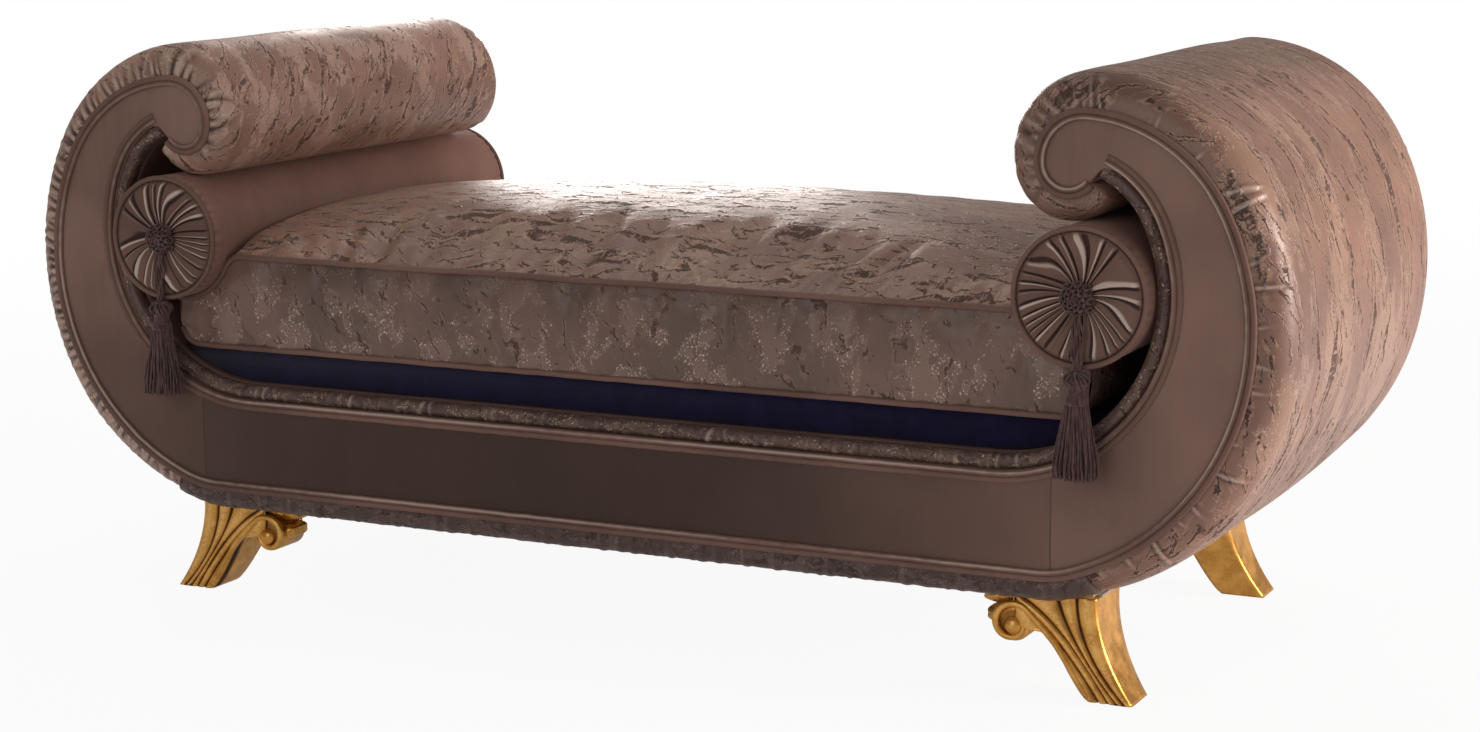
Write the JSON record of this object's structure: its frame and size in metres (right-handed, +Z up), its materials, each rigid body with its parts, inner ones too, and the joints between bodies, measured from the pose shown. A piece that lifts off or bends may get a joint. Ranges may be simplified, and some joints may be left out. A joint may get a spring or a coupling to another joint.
{
  "type": "recamier",
  "caption": "Backless upholstered couch with scrolled padded ends, a loose seat cushion, tasselled bolsters and carved gilt legs.",
  "frame": {"origin": "middle of the couch's footprint, on the floor", "axes": "+X along the couch towards the right scroll, +Y towards the rear, +Z up"},
  "size_m": [1.8942, 0.8442, 0.8082],
  "materials": {
    "velvet": "cut pile",
    "patterned": "woven crackle pattern",
    "dark_cloth": "plain cloth",
    "braid": "twisted yarn",
    "foam": "foam and wadding",
    "webbing": "woven strap",
    "plywood": "bare",
    "beech": "bare",
    "gilt": "gilded and worn",
    "steel": "plain",
    "glide": "plain"
  },
  "bodies": {
    "frame": {"front_profile_board": "plywood", "rear_profile_board": "plywood", "cross_rails": "beech", "front_seat_rail": "beech", "rear_seat_rail": "beech", "leg_blocks": "beech", "webbing": "webbing", "deck_pad": "foam", "dust_cover": "dark_cloth", "front_facing": "velvet", "rear_facing": "velvet", "front_outer_welt": "velvet", "rear_outer_welt": "velvet", "front_inner_welt": "velvet", "rear_inner_welt": "velvet", "front_inner_edging": "patterned", "rear_inner_edging": "patterned", "front_base_border": "patterned", "rear_base_border": "patterned", "platform_core": "foam", "platform_cover": "dark_cloth", "leg_plates": "steel", "leg_bolts": "steel", "glides": "glide", "left_scroll_battens": "beech", "left_scroll_skin": "plywood", "left_throat_skin": "plywood", "left_scroll_padding": "foam", "left_scroll_cover": "patterned", "left_throat_lining": "velvet", "front_left_leg": "gilt", "rear_left_leg": "gilt", "right_scroll_battens": "beech", "right_scroll_skin": "plywood", "right_throat_skin": "plywood", "right_scroll_padding": "foam", "right_scroll_cover": "patterned", "right_throat_lining": "velvet", "front_right_leg": "gilt", "rear_right_leg": "gilt"},
    "cushion": {"seat_cushion": "patterned", "cushion_top_piping": "velvet", "cushion_bottom_piping": "velvet"},
    "left_bolster": {"left_bolster": "velvet", "left_bolster_rims": "velvet", "left_front_rosette": "velvet", "left_rear_rosette": "velvet", "left_buttons": "braid"},
    "left_tassel": {"left_tassel_cord": "braid", "left_tassel_head": "braid", "left_tassel_skirt": "braid"},
    "right_bolster": {"right_bolster": "velvet", "right_bolster_rims": "velvet", "right_front_rosette": "velvet", "right_rear_rosette": "velvet", "right_buttons": "braid"},
    "right_tassel": {"right_tassel_cord": "braid", "right_tassel_head": "braid", "right_tassel_skirt": "braid"}
  },
  "joints": [
    {"name": "cushion_slide", "type": "slide", "parent": "frame", "child": "cushion", "axis": [0, -1, 0], "range_m": [0, 0.8]},
    {"name": "left_bolster_slide", "type": "slide", "parent": "cushion", "child": "left_bolster", "axis": [0, -1, 0], "range_m": [0, 0.85]},
    {"name": "left_tassel_swing", "type": "hinge", "parent": "left_bolster", "child": "left_tassel", "pos_m": [-0.68598, -0.4041, 0.52908], "axis": [0, 1, 0], "range_deg": [-25, 25]},
    {"name": "right_bolster_slide", "type": "slide", "parent": "cushion", "child": "right_bolster", "axis": [0, -1, 0], "range_m": [0, 0.85]},
    {"name": "right_tassel_swing", "type": "hinge", "parent": "right_bolster", "child": "right_tassel", "pos_m": [0.68598, -0.4041, 0.52908], "axis": [0, 1, 0], "range_deg": [-25, 25]}
  ]
}
